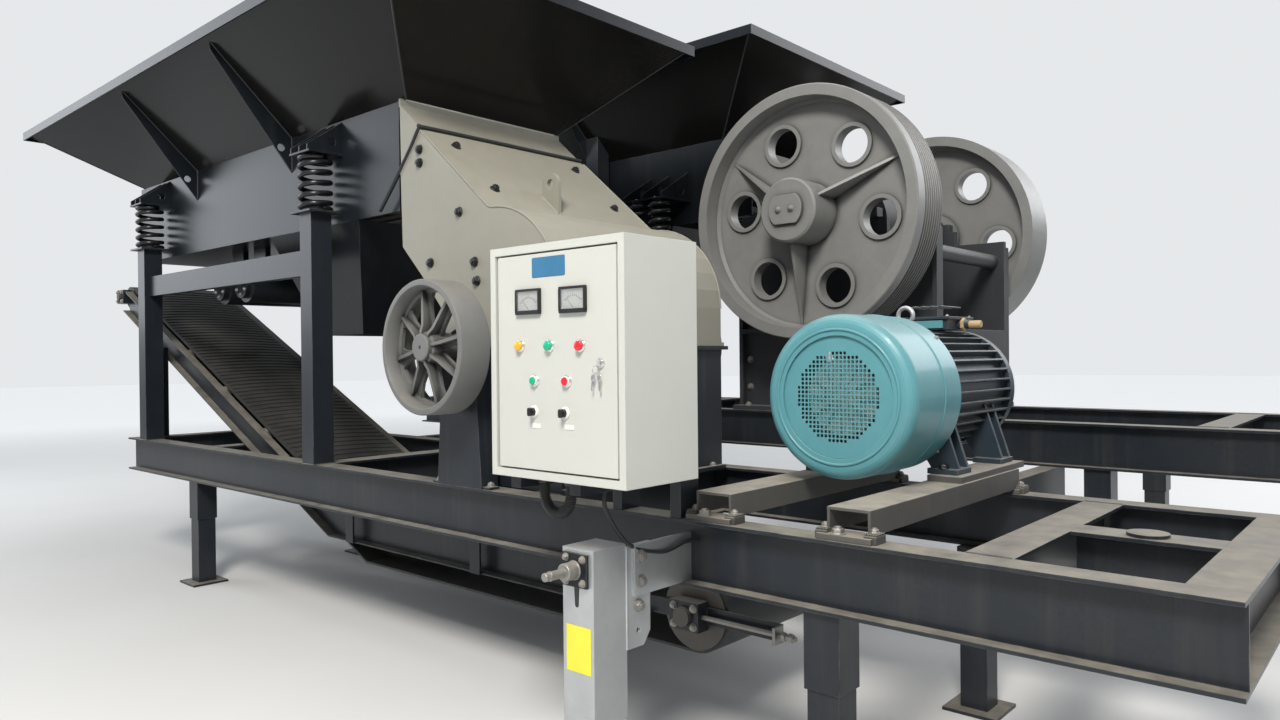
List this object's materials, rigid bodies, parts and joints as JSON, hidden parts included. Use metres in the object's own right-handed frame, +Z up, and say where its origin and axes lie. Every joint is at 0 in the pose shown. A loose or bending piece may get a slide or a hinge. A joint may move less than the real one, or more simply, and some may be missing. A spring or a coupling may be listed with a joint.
{
  "type": "jaw and hammer crushing plant",
  "caption": "Stone crushing plant: raised chassis with hopper-fed vibrating feeders, a jaw crusher with heavy flywheels, a hammer crusher with motor and a control cabinet.",
  "frame": {"origin": "centre of the plant's outline, on the ground", "axes": "+X along both chassis from the feeders to the hitch ends, +Y from the cabinet side to the jaw crusher side, +Z up"},
  "size_m": [8.83, 5.279, 3.768],
  "materials": {
    "dark_paint": "satin",
    "black_gloss": "gloss",
    "black_paint": "satin",
    "spring_steel": "satin",
    "worn_steel": "matte",
    "grey_paint": "satin",
    "shaft_steel": "satin",
    "cast_wheel": "matte",
    "cabinet_paint": "satin",
    "meter_face": "gloss",
    "control_trim": "gloss",
    "hose_rubber": "matte",
    "motor_paint": "satin",
    "teal_paint": "satin",
    "dusty_steel": "matte",
    "crusher_paint": "matte",
    "flywheel_paint": "satin",
    "galvanised": "satin"
  },
  "bodies": {
    "root": {"front_rails": "dark_paint", "front_cross_beams": "dark_paint", "kingpin_beam": "dark_paint", "front_legs": "dark_paint", "rear_rails": "dark_paint", "rear_cross_beams": "dark_paint", "rear_legs": "dark_paint", "tie_beams": "dark_paint", "feeder_posts": "dark_paint", "post_braces": "dark_paint", "feeder_springs": "spring_steel", "feeder_brackets": "black_paint", "feeder_trough": "black_paint", "grizzly_bars": "worn_steel", "vibrators": "black_paint", "fines_chutes": "black_paint", "hopper_walls": "black_gloss", "rear_hopper_walls": "black_gloss", "hopper_rims": "black_paint", "hopper_fins": "black_paint", "hopper_props": "dark_paint", "rear_posts": "dark_paint", "rear_springs": "spring_steel", "rear_brackets": "black_paint", "rear_trough": "black_paint", "housing_near_side": "grey_paint", "housing_far_side": "grey_paint", "housing_cover": "grey_paint", "housing_back": "grey_paint", "lower_housing": "dark_paint", "rotor_pedestals": "dark_paint", "cabinet_box": "cabinet_paint", "cabinet_bracket": "dark_paint", "conduit_bend": "hose_rubber", "motor_body": "motor_paint", "motor_cowl": "teal_paint", "motor_grille": "teal_paint", "terminal_box": "motor_paint", "motor_rails": "dusty_steel", "jaw_side_plates": "crusher_paint", "jaw_front_wall": "crusher_paint", "jaw_rear_wall": "crusher_paint", "swing_jaw": "crusher_paint", "toggle_plate": "crusher_paint", "bearing_housings": "crusher_paint", "support_jack": "galvanised", "conveyor_frame": "dark_paint", "conveyor_hangers": "dark_paint", "conveyor_belt": "hose_rubber", "conveyor_rollers": "worn_steel"},
    "jaw_wheels": {"flywheel_shaft": "shaft_steel", "grooved_flywheel": "flywheel_paint", "plain_flywheel": "flywheel_paint"},
    "hammer_rotor": {"rotor_shaft": "shaft_steel", "spoked_wheel": "cast_wheel", "rotor_pulley": "cast_wheel"},
    "motor_shaft": {"motor_rotor": "shaft_steel"},
    "door_leaf": {"cabinet_door": "cabinet_paint", "door_meters": "meter_face", "door_controls": "control_trim"}
  },
  "joints": [
    {"name": "flywheel_spin", "type": "hinge", "parent": "root", "child": "jaw_wheels", "pos_m": [1.595, 1.3805, 2.494], "axis": [0, 1, 0], "continuous": true},
    {"name": "rotor_spin", "type": "hinge", "parent": "root", "child": "hammer_rotor", "pos_m": [1.117, -1.2895, 1.645], "axis": [0, 1, 0], "continuous": true},
    {"name": "motor_spin", "type": "hinge", "parent": "root", "child": "motor_shaft", "pos_m": [2.88, -1.2895, 1.43], "axis": [0, 1, 0], "continuous": true},
    {"name": "door_hinge", "type": "hinge", "parent": "root", "child": "door_leaf", "pos_m": [2.142, -2.5995, 1.58], "axis": [0, 0, -1], "range_deg": [0, 105]}
  ]
}
